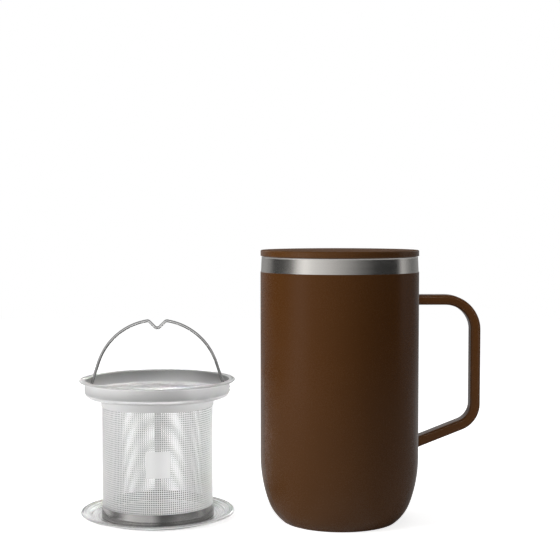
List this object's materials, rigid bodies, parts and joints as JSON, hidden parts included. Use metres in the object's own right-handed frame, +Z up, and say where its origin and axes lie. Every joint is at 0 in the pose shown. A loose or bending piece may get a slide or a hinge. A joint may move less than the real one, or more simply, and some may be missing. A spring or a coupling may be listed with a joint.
{
  "type": "lidded tea mug with infuser",
  "caption": "Double-walled steel tea mug with a D handle and lift-off lid, and a perforated infuser with a folding wire bail on its drip dish.",
  "frame": {"origin": "centre of the mug's foot, on the surface that it stands on", "axes": "+Z up, +X from the mug towards its handle, +Y away from the viewer; the infuser on its dish stands on the -X side"},
  "size_m": [0.2114, 0.0898, 0.142],
  "materials": {
    "brushed_steel": "fine grain brushed round the mug",
    "powder_coat": "dark brown powder coat, fine matt texture",
    "solder_glass": "dull fused glass",
    "getter_alloy": "dark sintered",
    "lid_plastic": "satin brown moulding",
    "silicone": "translucent matt",
    "satin_steel": "satin, spun",
    "perforated_steel": "perforated sheet, satin",
    "bright_wire": "drawn wire, polished"
  },
  "bodies": {
    "mug": {"outer_shell": "brushed_steel", "powder_coat": "powder_coat", "inner_liner": "brushed_steel", "vacuum_bottom": "brushed_steel", "seal_bead": "solder_glass", "getter": "getter_alloy", "base_cap": "brushed_steel", "handle": "powder_coat"},
    "lid": {"lid_cover": "lid_plastic", "lid_plug": "lid_plastic", "lid_seal": "silicone"},
    "dish": {"drip_dish": "satin_steel"},
    "infuser": {"infuser_collar": "satin_steel", "bail_lug_left": "satin_steel", "bail_lug_right": "satin_steel", "bottom_ring": "satin_steel", "basket_wall": "perforated_steel", "basket_bottom": "perforated_steel"},
    "bail_wire": {"bail": "bright_wire"}
  },
  "joints": [
    {"name": "lid_lift", "type": "slide", "parent": "mug", "child": "lid", "axis": [0, 0, 1], "range_m": [0, 0.09]},
    {"name": "dish_lift", "type": "slide", "parent": "mug", "child": "dish", "axis": [0, 0, 1], "range_m": [0, 0.03]},
    {"name": "infuser_lift", "type": "slide", "parent": "dish", "child": "infuser", "axis": [0, 0, 1], "range_m": [0, 0.09]},
    {"name": "bail_swing", "type": "hinge", "parent": "infuser", "child": "bail_wire", "pos_m": [-0.0965, 0.007, 0.069], "axis": [1, 0, 0], "range_deg": [-90, 90]}
  ]
}
